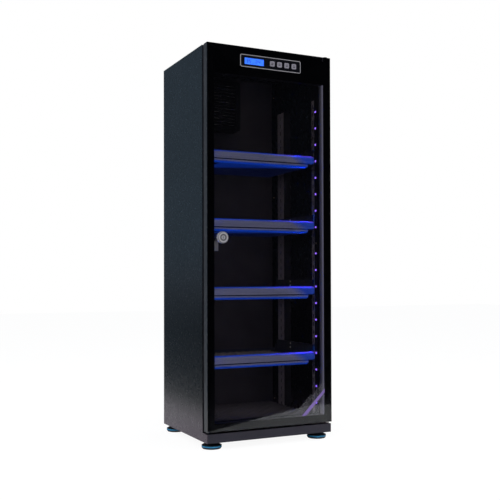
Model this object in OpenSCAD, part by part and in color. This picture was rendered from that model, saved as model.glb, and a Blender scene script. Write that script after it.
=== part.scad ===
// Camera dry cabinet: steel body on four levelling feet, framed glass door with a control
// panel and a cam lock, four pull-out shelves on slotted uprights, dryer on the back wall.
// +X is to the right, +Y to the back, +Z up. The origin is at the centre of the footprint,
// on the surface that the feet stand on.

/* [Body] */
// Width over the side panels
cabinet_w = 400; // [380:10:520]
// Depth from the front flange to the back face
body_d = 318; // [310:2:420]
// Height of the steel body above the feet
body_h = 1118; // [1100:2:1300]
// Thickness of the steel sheet
sheet_t = 1.2; // [0.8:0.1:1.4]
// Clear height under the body
foot_clear = 20; // [19:0.5:24]
// Height of the kick plate
plinth_h = 25; // [20:1:30]
// Kick plate's distance behind the door's front
plinth_setback = 4; // [2:1:10]
// Width of the folded front post
post_w = 25; // [23.5:0.5:30]
// Depth of the folded front post
post_d = 29; // [26:1:36]
// Height of the sill above the door's lower edge
sill_h = 22; // [21.5:0.5:26]
// Depth of the sill's top
sill_d = 12; // [8:1:20]

/* [Door] */
// Thickness of the door's glass
glass_t = 4; // [3:0.5:5]
// Thickness of the door without its seal
door_t = 25; // [23:0.5:28]
// Distance from the door's back to the front flange
seal_space = 12; // [10:0.5:14]
// Gap between the kick plate and the door
door_gap = 6; // [5:0.5:9]
// Gap between the door's top edge and the hinge plate
top_gap = 1; // [0.8:0.1:2]
// Width of the door's stiles
stile_w = 23; // [22.5:0.5:30]
// Height of the door's top rail
top_rail_h = 82; // [70:1:100]
// Height of the door's bottom rail
bottom_rail_h = 22; // [21.5:0.5:30]
// Wall of the door's tubes
tube_t = 1.5; // [1:0.1:2]
// Distance of the seal from the door's edge
seal_inset = 12; // [11:0.5:13]
// Width of the seal
seal_w = 9; // [6:0.5:9.5]

/* [Hinges] */
// Hinge axis, inwards from the door's right edge
hinge_in = 10; // [9:0.5:11]
// Hinge axis, back from the door's front
hinge_back = 15; // [13:0.5:16]
// Radius of the hinge pins
pin_r = 4; // [3:0.25:4.5]
// Thickness of the hinge plates
plate_t = 3; // [2:0.25:3.5]
// Length of the hinge plates along the door
plate_len = 56; // [48:1:70]

/* [Control panel] */
// Width of the control panel
panel_w = 196; // [180:1:220]
// Height of the control panel
panel_h = 36; // [32:1:44]
// Corner radius of the control panel
panel_r = 5; // [3:0.5:8]
// Distance of the panel's centre below the door's top edge
panel_drop = 39.5; // [34:0.5:44]
// Width of the silver outline
bezel_w = 2; // [1:0.25:3]
// Width of the display
lcd_w = 62; // [50:1:70]
// Height of the display
lcd_h = 19; // [15:0.5:21]
// Width of a square key
key_w = 15; // [11:0.5:17]
// Distance between neighbouring keys
key_pitch = 23.7; // [20:0.1:26]
// Travel of a key
key_travel = 0.8; // [0.4:0.1:1]

/* [Lock] */
// Lock axis, in from the door's left edge
lock_in = 44.5; // [42:0.5:60]
// Lock axis above the door's lower edge
lock_up = 541; // [500:1:546]
// Radius of the lock's round head
lock_head_r = 16.5; // [14:0.5:20]
// Length of the lock's head in front of the glass
lock_head_l = 10; // [6:0.5:14]
// Radius of the lock's barrel
barrel_r = 9.5; // [8:0.25:11]
// Radius of the turning plug
plug_r = 6; // [5:0.25:7]
// Length of the cam from the lock axis
cam_len = 36; // [30:1:38]
// Width of the cam
cam_w = 12; // [10:0.5:13]
// Thickness of the cam
cam_t = 2; // [1.5:0.25:3]

/* [Shelves] */
// Height of the lowest shelf's top edge
shelf_first_z = 257; // [240:1:270]
// Distance between neighbouring shelves
shelf_pitch = 196; // [180:2:200]
// Gap between a shelf and the front post
shelf_side_gap = 10; // [9.5:0.5:16]
// Thickness of the shelf trim
trim_d = 7; // [6:0.5:8]
// Height of the shelf trim
trim_h = 36; // [34:0.5:40]
// Height of the trim's upper part
trim_upper_h = 23; // [21:0.5:24]
// Inset of the trim's lower part at the hinge side
trim_low_in = 21; // [19:0.5:23]
// Depth of the shelf tray
tray_d = 245; // [235:1:260]
// Inset of the tray's lower pan from the trim's end
pan_in = 24; // [23:0.5:30]
// Thickness of a foam mat
mat_t = 22; // [18:0.5:23]
// Distance of the stop pins behind the front flange
stop_back = 154; // [140:1:170]

/* [Uprights and rails] */
// Thickness of the slotted strip and of the rear upright
upright_t = 1.5; // [1:0.1:2]
// Width of the front slotted strip
strip_w = 15; // [13:0.5:15]
// Depth of the rear upright
upright_d = 42; // [36:1:50]
// Distance of the rear upright behind the front flange
upright_back = 209; // [195:1:214]
// Height of the uprights
upright_h = 969; // [940:1:980]
// Width of a slot in an upright
slot_w = 4; // [3.5:0.1:5]
// Height of a slot in an upright
slot_h = 12; // [10.5:0.5:13]
// Slots between neighbouring shelves
slots_per_pitch = 8; // [7:1:9]
// Thickness of the rail's sheet
rail_t = 1.5; // [1:0.1:2]
// Distance from the rail's web to the upright
rail_depth = 7; // [6.5:0.25:7.5]

/* [Light strip] */
// Distance between neighbouring lights
led_pitch = 50; // [40:1:55]
// Lights in the lower strip
led_low_count = 10; // [4:1:10]
// Lights in the upper strip
led_high_count = 8; // [3:1:8]
// First light of the lower strip above the door's lower edge
led_low_up = 51.5; // [40:0.5:60]
// First light of the upper strip above the door's lower edge
led_high_up = 580.6; // [580:0.2:590]
// Width of the light strip
led_board_w = 8; // [6:0.5:9]
// Width of one light
led_w = 5; // [3:0.25:5.5]

/* [Dryer] */
// Width of the dryer
dryer_w = 180; // [160:1:200]
// Height of the dryer
dryer_h = 160; // [150:1:166]
// Depth of the dryer's case
dryer_d = 52; // [40:1:60]
// Dryer's right side, right of the cabinet's middle
dryer_right = 43; // [30:1:60]
// Dryer's lower edge, below the body's top
dryer_drop = 184; // [176:1:190]
// Wall of the dryer's case
dryer_wall = 2; // [1.5:0.25:3]
// Thickness of the louvred cover
louvre_t = 3; // [2:0.25:4]
// Rows of louvres
louvre_count = 13; // [6:1:13]

/* [Feet] */
// Radius of a foot
foot_r = 28.5; // [24:0.5:29]
// Foot's distance from the side
foot_in = 29; // [29:0.5:36]
// Front foot's distance behind the door's front
foot_front = 40; // [38:1:48]
// Rear foot's distance from the back
foot_rear = 30; // [30:1:40]
// Radius of a foot's threaded stud
stud_r = 4; // [3:0.5:5]
// How far a foot can be lowered
foot_travel = 10; // [6:1:12]

/* [Hidden] */
$fn = 64;

// Overrun of every cut past the face that it leaves by
cut = 1;
// Radial clearance of a turning or sliding fit
run_gap = 0.05;
// Clearance between pieces that move past each other
move_gap = 0.3;
// Clearance of a screw or a fixed piece in its hole
hole_gap = 0.3;

// Levels and planes of the body; y is counted from the door's front until the last step
half_w = cabinet_w / 2;
skin_x = half_w - sheet_t;
front_y = door_t + seal_space;
back_y = front_y + body_d;
wall_y = back_y - sheet_t;
base_z = foot_clear;
body_top = base_z + body_h;
plinth_top = base_z + plinth_h;
door_bottom = plinth_top + door_gap;
door_top = body_top - top_gap;
post_x = half_w - post_w;
sill_top = door_bottom + sill_h;
floor_drop = 2;
floor_top = door_bottom - floor_drop;
y_mid = (back_y - lock_head_l) / 2;

// Sheet flanges and cross rails
rear_flange_w = 12;
plinth_return = 15;
base_rail_w = 60;
front_rail_y = plinth_setback + sheet_t + base_rail_w / 2;
rear_rail_y = wall_y - sheet_t - base_rail_w / 2;

// Door, seal and hinges
tube_y = glass_t;
seal_t = seal_space - move_gap;
seal_lip_t = 4;
seal_lip_w = seal_w / 3;
hinge_x = half_w - hinge_in;
bush_len = 18;
bush_collar_r = 7.5;
bush_bearing_gap = 0.2;
pin_engage = 14;
plate_over = 12;
plate_d = 26;
plate_eye_wall = 4;
plate_eye_r = pin_r + plate_eye_wall;
plate_top_z = body_top;
plate_low_z = plinth_top;

// Control panel
panel_z = door_top - panel_drop;
panel_face_t = 3;
panel_proud = 0.6;
bezel_proud = 1;
face_w = panel_w - 2 * bezel_w;
face_h = panel_h - 2 * bezel_w;
keys_w = 3 * key_pitch + key_w;
panel_free_w = face_w - lcd_w - keys_w;
lcd_margin_share = 0.2688;
key_margin_share = 0.3007;
lcd_x = lcd_margin_share * panel_free_w + (lcd_w - face_w) / 2;
lcd_t = 2.5;
lcd_recess = 1;
key_first_x = (face_w + key_w) / 2 - keys_w - key_margin_share * panel_free_w;
key_proud = 1.6;
key_len = 7;
key_r = 3;
key_gap = 0.3;
key_flange = 1;
key_flange_t = 1;
board_t = 1.6;
board_gap = 3;
board_y = key_len - key_proud + key_travel + board_gap;
switch_w = 6;
switch_gap = 0.1;

// Lock
lock_x = lock_in - half_w;
lock_z = door_bottom + lock_up;
cam_gap = 1.6;
cam_y = front_y + sheet_t + cam_gap;
barrel_end = cam_y - move_gap;
nut_t = 5;
nut_r = 14;
plug_recess = 0.8;
keyway_w = 1.6;
keyway_h = 8;
keyway_depth = 4;
head_round = 2.5;
cam_hole_r = 3;
cam_screw_r = 4.5;
cam_screw_t = 2.2;
cam_slot_gap = 2;

// Shelves: trim and tray; z is counted from the shelf's top edge
shelf_count = 4;
trim_w = 2 * (post_x - shelf_side_gap);
trim_low_w = trim_w - trim_low_in;
pan_w = trim_w - 2 * pan_in;
shelf_front_gap = 1;
shelf_front_y = front_y + shelf_front_gap;
tray_y = shelf_front_y + trim_d;
trim_round = trim_d;
trim_end_r = 3.5;
trim_corner_r = 5;
trim_low_r = 8;
belly_r = 120;
belly_down = 20;
belly_rise = belly_down - trim_round;
belly_reach = belly_r - trim_round;
crown_y = belly_r - sqrt(belly_reach * belly_reach - belly_rise * belly_rise);
crown_z = trim_round * belly_rise / belly_reach - trim_round;
lip_back = 0.8;
groove_h = 3;
groove_d = 2;
lip_h = 5;
edge_h = trim_h - trim_upper_h - groove_h - lip_h;
tray_t = 1.2;
tray_side_in = 1;
tray_side_x = trim_w / 2 - tray_side_in;
rim_drop = 6;
pan_x = pan_w / 2;
wing_z = -trim_upper_h;
mat_edge_gap = 1.5;
mat_r = 6;
tab_up = 5;
tab_t = 2.5;
tab_h = 14;

// Uprights, slots and rails
strip_y = front_y + post_d - strip_w;
face_x = post_x - upright_t;
upright_y = front_y + upright_back;
upright_top = floor_top + upright_h;
slot_pitch = shelf_pitch / slots_per_pitch;
slot_down = 16;
slot_z0 = shelf_first_z - slot_down;
slot_margin = slot_h;
slots_below = floor((slot_z0 - floor_top - slot_margin) / slot_pitch);
slots_above = floor((upright_top - slot_margin - slot_z0) / slot_pitch);
web_x = face_x - rail_depth;
rail_front_gap = 1;
rail_y = tray_y + rail_front_gap;
rail_end_in = 2;
rail_end = upright_y + upright_d - rail_end_in;
rail_up = 20;
ledge_gap = 2.5;
ledge_x = pan_x + ledge_gap;
ledge_z = wing_z - tray_t - move_gap;
hook_w = 2.5;
hook_gap = 0.3;
hook_reach = 2.2;
hook_drop = 4;
hook_h = 8;
stop_r = 2.5;
stop_z = 2;
rivet_z = 14;
stop_y = front_y + stop_back;
stop_reach = 1.8;
rivet_reach = 0.8;

// Light strip
led_board_in = 2;
led_y = front_y + led_board_in + led_board_w / 2;
led_board_t = 1;
led_end = 11;
led_proud = 1.6;
led_screw_up = 532;
led_screw_r = 3.2;

// Dryer and power inlet
dryer_x = dryer_right - dryer_w / 2;
dryer_z = body_top - dryer_drop;
case_y = wall_y - dryer_d;
dryer_r = 10;
louvre_margin = 18;
louvre_gap_share = 0.45;
cartridge_gap = 6;
cartridge_rib_t = 2;
cartridge_ribs = 7;
vent_w = 70;
vent_h = 4;
vent_pitch = 10;
vent_count = 6;
vent_right = 30;
vent_up = 70;
vent_x = dryer_x + vent_right;
vent_z = dryer_z + vent_up;
inlet_w = 27;
inlet_h = 20;
inlet_left = 52;
inlet_up = 30;
inlet_x = dryer_x - inlet_left;
inlet_z = dryer_z + inlet_up;
inlet_depth = 22;
inlet_recess = 17;
inlet_pin_len = 11;
inlet_wall = 2;
inlet_pin_w = 2;
inlet_pin_h = 4;
inlet_pin_step = 7;

// Feet
foot_y_front = foot_front;
foot_y_rear = back_y - foot_rear;
pad_gap = 1.5;
pad_top = foot_clear - pad_gap;
pad_flare = 2.5;
pad_base_r = foot_r - pad_flare;
pad_rim_low = 4;
pad_rim_high = 9.5;
pad_neck_r = 16;
pad_sole = 3;
ring_groove = 1;
ring_edge = 0.5;
collar_r = 9;
collar_h = 5;
bush_r = 8;
bush_collar_w = 3;
bush_collar_h = 2.5;
bush_top_in = 3;
bush_top = plinth_top - bush_top_in;
stud_engage = 11;
stud_top = base_z + stud_engage + foot_travel;

// Screws
screw_r = 2;
screw_head_r = 3.6;
screw_head_t = 2;
back_screw_rows = 4;
screw_z0 = floor_top + plinth_h;
screw_z1 = body_top - 2 * plinth_h;

// A box between two corners
module block(a, b) translate(a) cube(b - a);

// Moves a profile drawn in y and z so that it runs along x from x0 to x1
module along_x(x0, x1) translate([x0, 0, 0]) rotate([90, 0, 90]) linear_extrude(x1 - x0) children();

// Moves a shape drawn in x and z so that it runs along y from y0 to y1
module along_y(y0, y1) translate([0, y1, 0]) rotate([90, 0, 0]) linear_extrude(y1 - y0) children();

// A cylinder along y between y0 and y1
module rod_y(x, z, r, y0, y1) translate([x, y1, z]) rotate([90, 0, 0]) cylinder(h = y1 - y0, r = r);

// A cylinder along x between x0 and x1
module rod_x(y, z, r, x0, x1) translate([x0, y, z]) rotate([0, 90, 0]) cylinder(h = x1 - x0, r = r);

// A rectangle about the origin with round corners
module round_rect(w, h, r) {
  square([w - 2 * r, h], center = true);
  square([w, h - 2 * r], center = true);
  for (sx = [-1, 1], sz = [-1, 1])
    translate([sx * (w / 2 - r), sz * (h / 2 - r)]) circle(r);
}

// Both sides of the cabinet
module both_sides() {
  children();
  mirror([1, 0, 0]) children();
}

// Puts the footprint's centre at the origin
module seated() translate([0, -y_mid, 0]) children();

function shelf_z(i) = shelf_first_z + (shelf_count - i) * shelf_pitch;

// Outline of a side, with the toe that closes the step's end
module side_outline() {
  polygon([[plinth_setback, base_z], [back_y, base_z], [back_y, body_top],
    [front_y, body_top], [front_y, plinth_top], [plinth_setback, plinth_top]]);
}

// Right side: skin with a rear flange that takes the back wall's screws
module side_panel() difference() {
  union() {
    along_x(skin_x, half_w) side_outline();
    block([skin_x - rear_flange_w, wall_y - sheet_t, base_z], [skin_x, wall_y, body_top - sheet_t]);
  }
  back_screw_places() rod_y(0, 0, screw_r + hole_gap, wall_y - sheet_t - cut, wall_y + cut);
}

module side_panel_left() seated() color("#20282d") mirror([1, 0, 0]) side_panel();

module side_panel_right() seated() color("#20282d") side_panel();

// Roof between the sides, with the hinge plate's screw holes
module top_panel() seated() color("#20282d") difference() {
  block([-skin_x, front_y, body_top - sheet_t], [skin_x, wall_y, body_top]);
  plate_screw_places() translate([0, 0, body_top - sheet_t - cut])
    cylinder(h = sheet_t + 2 * cut, r = screw_r + hole_gap);
}

// Floor between the sides, with notches round the front posts
module floor_panel() seated() color("#20282d") {
  difference() {
    block([-skin_x, front_y + sheet_t, floor_top - sheet_t], [skin_x, wall_y - sheet_t, floor_top]);
    both_sides() block([post_x, front_y, floor_top - sheet_t - cut],
      [skin_x + cut, front_y + post_d, floor_top + cut]);
  }
}

// Places of the back wall's screws
module back_screw_places() {
  for (k = [0 : back_screw_rows - 1], s = [-1, 1])
    translate([s * (skin_x - rear_flange_w / 2), 0,
      screw_z0 + (screw_z1 - screw_z0) * k / (back_screw_rows - 1)]) children();
}

// Back wall with vents behind the dryer and the opening for the power inlet
module back_panel() seated() color("#20282d") {
  difference() {
    block([-skin_x, wall_y, base_z], [skin_x, back_y, body_top]);
    for (k = [0 : vent_count - 1])
      along_y(wall_y - cut, back_y + cut)
        translate([vent_x, vent_z + k * vent_pitch]) round_rect(vent_w, vent_h, vent_h / 2 - sheet_t / 4);
    along_y(wall_y - cut, back_y + cut)
      translate([inlet_x, inlet_z]) square([inlet_w, inlet_h], center = true);
    back_screw_places() rod_y(0, 0, screw_r + hole_gap, wall_y - cut, back_y + cut);
    back_screw_places() rod_y(0, 0, screw_head_r + hole_gap, back_y - sheet_t / 2, back_y + cut);
  }
}

// Kick plate with the step under the door and a return along its lower edge
module plinth() seated() color("#20282d") {
  along_x(-skin_x, skin_x) union() {
    translate([plinth_setback, base_z]) square([sheet_t, plinth_h]);
    translate([plinth_setback, plinth_top - sheet_t]) square([front_y - plinth_setback, sheet_t]);
    translate([plinth_setback, base_z]) square([plinth_return, sheet_t]);
  }
}

// Profile of a cross rail under the floor, an open trough centred on y
module base_rail_profile(y) {
  difference() {
    translate([y - base_rail_w / 2, base_z + sheet_t])
      square([base_rail_w, floor_top - base_z - 2 * sheet_t]);
    translate([y - base_rail_w / 2 + sheet_t, base_z + 2 * sheet_t])
      square([base_rail_w - 2 * sheet_t, floor_top - base_z]);
  }
}

// Cross rails at the front and the rear, with the holes for the foot bushes
module base_rails() seated() color("#2b3236") {
  difference() {
    union() {
      intersection() {
        along_x(-skin_x, skin_x) base_rail_profile(front_rail_y);
        union() {
          block([-half_w, 0, base_z], [half_w, front_y, plinth_top - sheet_t]);
          block([-half_w, front_y - cut, base_z], [half_w, back_y, plinth_top - sheet_t]);
          block([-half_w, front_y, base_z], [half_w, back_y, plinth_top]);
        }
      }
      along_x(-skin_x, skin_x) base_rail_profile(rear_rail_y);
    }
    foot_places() translate([0, 0, base_z]) cylinder(h = foot_clear, r = bush_r);
  }
}

// Places of the four feet
module foot_place(i) {
  sx = i % 2 == 1 ? -1 : 1;
  y = i < 3 ? foot_y_front : foot_y_rear;
  translate([sx * (half_w - foot_in), y, 0]) children();
}

module foot_places() {
  for (i = [1 : 4]) foot_place(i) children();
}

// Threaded bushes that take the feet's studs
module foot_bushes() seated() color("#9a9ea2") {
  foot_places() translate([0, 0, base_z]) difference() {
    union() {
      cylinder(h = bush_top - base_z, r = bush_r);
      translate([0, 0, 2 * sheet_t]) cylinder(h = bush_collar_h, r = bush_r + bush_collar_w);
    }
    translate([0, 0, -cut]) cylinder(h = bush_top - base_z + 2 * cut, r = stud_r + run_gap);
  }
}

// Slots of an upright whose middle is at y, as a cut from x0 to x1
module slot_row(y, x0, x1) {
  for (k = [-slots_below : slots_above])
    block([x0, y - slot_w / 2, slot_z0 + k * slot_pitch - slot_h / 2],
      [x1, y + slot_w / 2, slot_z0 + k * slot_pitch + slot_h / 2]);
}

strip_mid = strip_y + strip_w / 2;
upright_mid = upright_y + upright_d / 2;

// Channel of the front frame: front plate, inner return and rear lip
module post_profile() {
  difference() {
    translate([post_x, front_y]) square([skin_x - post_x, post_d]);
    translate([post_x + sheet_t, front_y + sheet_t]) square([post_w, post_d - 2 * sheet_t]);
  }
}

// Front frame of folded channels that the seal closes on
module front_frame() seated() color("#2a3036") {
  difference() {
    union() {
      both_sides() translate([0, 0, plinth_top])
        linear_extrude(body_top - sheet_t - plinth_top) post_profile();
      along_x(-post_x - sheet_t, post_x + sheet_t) difference() {
        translate([front_y, body_top - post_w]) square([post_d, post_w - sheet_t]);
        translate([front_y + sheet_t, body_top - post_w + sheet_t])
          square([post_d - 2 * sheet_t, post_w]);
      }
      along_x(-post_x - sheet_t, post_x + sheet_t) union() {
        translate([front_y, plinth_top]) square([sheet_t, sill_top - plinth_top]);
        translate([front_y, sill_top - sheet_t]) square([sill_d, sheet_t]);
      }
    }
    both_sides() slot_row(strip_mid, post_x - cut, post_x + sheet_t + cut);
    block([-post_x - sheet_t - cut, cam_y - cam_slot_gap / 2, lock_z - cam_len - cam_slot_gap],
      [-post_x + cut, cam_y + cam_t + cam_slot_gap, lock_z + cam_w / 2 + cam_slot_gap]);
  }
}

// Slotted front strip and rear upright of the right side
module uprights() {
  difference() {
    union() {
      block([face_x, strip_y, floor_top], [post_x, strip_y + strip_w, upright_top]);
      translate([0, 0, floor_top]) linear_extrude(upright_h) difference() {
        translate([face_x, upright_y]) square([skin_x - face_x, upright_d]);
        translate([face_x + upright_t, upright_y + upright_t])
          square([skin_x - face_x, upright_d - 2 * upright_t]);
      }
    }
    slot_row(strip_mid, face_x - cut, post_x + cut);
    slot_row(upright_mid, face_x - cut, post_x + cut);
  }
}

module uprights_left() seated() color("#23292d") mirror([1, 0, 0]) uprights();

module uprights_right() seated() color("#23292d") uprights();

// Hook of a rail: a rib from the web, a tab through the slot and a tooth behind the sheet
module rail_hook(y, z, stack_t) {
  low = z - slot_h / 2 + hook_gap;
  back_x = face_x + stack_t;
  block([web_x, y - hook_w / 2, low], [back_x + hook_gap + hook_reach, y + hook_w / 2, low + hook_h]);
  block([back_x + hook_gap, y - hook_w / 2, low - hook_drop],
    [back_x + hook_gap + hook_reach, y + hook_w / 2, low + hook_h]);
}

// Right rail of a shelf whose top edge is at z = 0: channel, ledge under the tray's wing, hooks
module rail() {
  low = ledge_z - rail_t;
  along_y(rail_y, rail_end) union() {
    difference() {
      translate([web_x, low]) square([rail_depth, rail_up - low]);
      translate([web_x + rail_t, low + rail_t]) square([rail_depth, rail_up - low - 2 * rail_t]);
    }
    translate([ledge_x, low]) square([web_x - ledge_x + rail_t, rail_t]);
  }
  for (k = [0, 1]) {
    rail_hook(strip_mid, slot_z0 - shelf_first_z + k * slot_pitch, upright_t + sheet_t);
    rail_hook(upright_mid, slot_z0 - shelf_first_z + k * slot_pitch, upright_t);
  }
}

// Holes for the stop pin and the rivet in a rail's web
module rail_pin_holes(gap) {
  rod_x(stop_y, stop_z, stop_r + gap, web_x - cut, web_x + rail_t + cut);
  rod_x(stop_y, rivet_z, stop_r + gap, web_x - cut, web_x + rail_t + cut);
}

module shelf_rails() seated() color("#2e3439") {
  for (i = [1 : shelf_count])
    translate([0, 0, shelf_z(i)]) both_sides() difference() {
      rail();
      rail_pin_holes(run_gap);
    }
}

// Bright stop pins and rivets in the rails
module stop_pins() seated() color("#c9cbcc") {
  for (i = [1 : shelf_count])
    translate([0, 0, shelf_z(i)]) both_sides() {
      rod_x(stop_y, stop_z, stop_r, web_x - stop_reach, web_x + rail_t + rail_t);
      rod_x(stop_y, rivet_z, stop_r, web_x - rivet_reach, web_x + rail_t + rail_t);
    }
}

// One length of light strip with count lights, the first at up above the door's lower edge
module led_board(up, count) {
  block([post_x - led_board_t, led_y - led_board_w / 2, door_bottom + up - led_end],
    [post_x, led_y + led_board_w / 2, door_bottom + up + (count - 1) * led_pitch + led_end]);
}

module led_strips() seated() color("#1a1c22") {
  led_board(led_low_up, led_low_count);
  led_board(led_high_up, led_high_count);
}

// Lights in a row, each a square lens on the strip
module led_row(up, count) {
  for (k = [0 : count - 1])
    block([post_x - led_board_t - led_proud, led_y - led_w / 2, door_bottom + up + k * led_pitch - led_w / 2],
      [post_x - led_board_t, led_y + led_w / 2, door_bottom + up + k * led_pitch + led_w / 2]);
}

module led_lenses() seated() color("#8a5cff") {
  led_row(led_low_up, led_low_count);
  led_row(led_high_up, led_high_count);
}

// Outline of the dryer, seen from the front
module dryer_outline(inset) {
  translate([dryer_x, dryer_z + dryer_h / 2])
    round_rect(dryer_w - 2 * inset, dryer_h - 2 * inset, dryer_r - inset);
}

// Outline of the power inlet's opening
module inlet_outline(grow) {
  translate([inlet_x, inlet_z]) square([inlet_w + grow, inlet_h + grow], center = true);
}

// Case of the dryer: back and walls, open to the front
module dryer_case() seated() color("#16181b") {
  difference() {
    along_y(case_y, wall_y) dryer_outline(0);
    along_y(case_y - cut, wall_y - dryer_wall) dryer_outline(dryer_wall);
    along_y(case_y, wall_y + cut) inlet_outline(0);
    for (k = [0 : vent_count - 1])
      along_y(case_y, wall_y + cut) translate([vent_x, vent_z + k * vent_pitch])
        square([vent_w, vent_h], center = true);
  }
}

louvre_pitch = (dryer_h - 2 * louvre_margin) / (louvre_count - 1);

// Louvred front of the dryer, each opening under a sloping blade
module dryer_cover() seated() color("#1b1d21") {
  difference() {
    along_y(case_y - louvre_t, case_y) dryer_outline(0);
    for (k = [0 : louvre_count - 1])
      translate([0, 0, dryer_z + louvre_margin + k * louvre_pitch])
        along_x(dryer_x - dryer_w / 2 + louvre_margin, dryer_x + dryer_w / 2 - louvre_margin)
          polygon([[case_y - louvre_t - cut, -louvre_pitch * louvre_gap_share - cut],
            [case_y - louvre_t - cut, -cut], [case_y + cut, louvre_pitch * louvre_gap_share],
            [case_y + cut, 0]]);
  }
}

// Desiccant cartridge with ribs on its front
module desiccant_cartridge() seated() color("#d9d6cc") {
  x0 = inlet_x + inlet_w / 2 + cartridge_gap;
  x1 = dryer_x + dryer_w / 2 - dryer_wall - cartridge_gap;
  z0 = dryer_z + dryer_wall + cartridge_gap;
  z1 = dryer_z + dryer_h - dryer_wall - cartridge_gap;
  rib_step = (x1 - x0 - cartridge_rib_t) / (cartridge_ribs - 1);
  block([x0, case_y + 2 * cartridge_gap, z0], [x1, wall_y - dryer_wall, z1]);
  for (k = [0 : cartridge_ribs - 1])
    block([x0 + k * rib_step, case_y + cartridge_gap, z0],
      [x0 + k * rib_step + cartridge_rib_t, case_y + 2 * cartridge_gap, z1]);
}

// Appliance inlet, flush with the back wall: a socket with three flat pins
module power_inlet() seated() color("#0f1011") {
  difference() {
    along_y(back_y - inlet_depth, back_y) inlet_outline(-2 * hole_gap);
    along_y(back_y - inlet_recess, back_y + cut) inlet_outline(-2 * inlet_wall - 2 * hole_gap);
  }
  for (k = [-1 : 1])
    block([inlet_x + k * inlet_pin_step - inlet_pin_w / 2, back_y - inlet_recess - cut,
        inlet_z - inlet_pin_h / 2],
      [inlet_x + k * inlet_pin_step + inlet_pin_w / 2, back_y - inlet_recess + inlet_pin_len,
        inlet_z + inlet_pin_h / 2]);
}

// Pin of a hinge plate, from z0 to z1
module hinge_pin(z0, z1) translate([hinge_x, hinge_back, z0]) cylinder(h = z1 - z0, r = pin_r);

// Places of the screws in the upper hinge plate
module plate_screw_places() {
  for (k = [0, 1])
    translate([skin_x - plate_over - k * (plate_len - 2 * plate_over), front_y + plate_d - plate_over, 0])
      children();
}

// Outline of a hinge plate: a foot from y0 to y1, a neck and a round eye at the pin
module plate_outline(y0, y1) {
  translate([skin_x - plate_len, y0]) square([plate_len, y1 - y0]);
  polygon([[hinge_x - plate_eye_r, hinge_back], [skin_x, hinge_back], [skin_x, y0 + cut],
    [skin_x - plate_len, y0 + cut], [skin_x - plate_len, y0]]);
  intersection() {
    translate([hinge_x, hinge_back]) circle(plate_eye_r);
    translate([hinge_x - plate_eye_r, hinge_back - plate_eye_r])
      square([skin_x - hinge_x + plate_eye_r, 2 * plate_eye_r]);
  }
}

// Hinge plates: the upper one screwed to the roof, the lower one welded to the step
module hinge_plates() seated() color("#15181b") {
  difference() {
    translate([0, 0, plate_top_z]) linear_extrude(plate_t) plate_outline(front_y, front_y + plate_d);
    plate_screw_places() translate([0, 0, plate_top_z - cut])
      cylinder(h = plate_t + 2 * cut, r = screw_r + hole_gap);
  }
  hinge_pin(door_top - pin_engage, plate_top_z + plate_t);
  translate([0, 0, plate_low_z]) linear_extrude(plate_t)
    plate_outline(front_y - plate_over + move_gap, front_y - move_gap);
  hinge_pin(plate_low_z, door_bottom + pin_engage);
}

// Foam on the cabinet's floor
module floor_mat() seated() color("#191919") {
  x1 = face_x - mat_edge_gap;
  y0 = front_y + sill_d + mat_edge_gap;
  y1 = wall_y - rear_flange_w - mat_edge_gap;
  translate([0, (y0 + y1) / 2, floor_top]) linear_extrude(mat_t) round_rect(2 * x1, y1 - y0, mat_r);
}

// Screws of the hinge plate, the back wall and the light strip
module cabinet_screws() seated() color("#b08d57") {
  plate_screw_places() {
    translate([0, 0, plate_top_z + plate_t]) cylinder(h = screw_head_t, r = screw_head_r);
    translate([0, 0, body_top - 3 * sheet_t]) cylinder(h = plate_t + 3 * sheet_t, r = screw_r);
  }
  back_screw_places() {
    rod_y(0, 0, screw_head_r, back_y - sheet_t / 2, back_y);
    rod_y(0, 0, screw_r, wall_y - 3 * sheet_t, back_y - sheet_t / 2);
  }
  rod_x(led_y, door_bottom + led_screw_up, led_screw_r, post_x - led_proud, post_x);
}

// Door frame of welded tube: two stiles, a low rail and a high rail that holds the control panel
module door_frame() seated() color("#6b6b78") {
  x1 = half_w;
  z0 = door_bottom;
  z1 = door_top;
  difference() {
    block([-x1, tube_y, z0], [x1, door_t, z1]);
    block([-x1 + stile_w, tube_y - cut, z0 + bottom_rail_h], [x1 - stile_w, door_t + cut, z1 - top_rail_h]);
    block([x1 - stile_w + tube_t, tube_y + tube_t, z0 - cut], [x1 - tube_t, door_t - tube_t, z1 + cut]);
    block([-x1 + tube_t, tube_y + tube_t, z0 + tube_t],
      [-x1 + stile_w - tube_t, door_t - tube_t, z1 - tube_t]);
    block([-x1 + stile_w + tube_t, tube_y + tube_t, z0 + tube_t],
      [x1 - stile_w - tube_t, door_t - tube_t, z0 + bottom_rail_h - tube_t]);
    block([-x1 + stile_w + tube_t, tube_y + tube_t, z1 - top_rail_h + tube_t],
      [x1 - stile_w - tube_t, door_t - tube_t, z1 - tube_t]);
    along_y(tube_y - cut, tube_y + tube_t + cut) translate([0, panel_z])
      square([face_w, face_h], center = true);
  }
}

// Glass over the whole front, with the control panel's cut-out and the lock's hole
module door_glass() seated() color("#0b0c0f", 0.5) {
  difference() {
    block([-half_w, 0, door_bottom], [half_w, glass_t, door_top]);
    along_y(-cut, glass_t + cut) translate([0, panel_z])
      round_rect(face_w + 2 * hole_gap, face_h + 2 * hole_gap, panel_r - bezel_w);
    rod_y(lock_x, lock_z, barrel_r + hole_gap, -cut, glass_t + cut);
  }
}

// Seal round the door's back: a foot on the frame and a narrower lip towards the flange
module seal_ring(w, y0, y1) {
  mid = seal_inset + seal_w / 2;
  difference() {
    block([-half_w + mid - w / 2, y0, door_bottom + mid - w / 2],
      [half_w - mid + w / 2, y1, door_top - mid + w / 2]);
    block([-half_w + mid + w / 2, y0 - cut, door_bottom + mid + w / 2],
      [half_w - mid - w / 2, y1 + cut, door_top - mid - w / 2]);
  }
}

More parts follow.
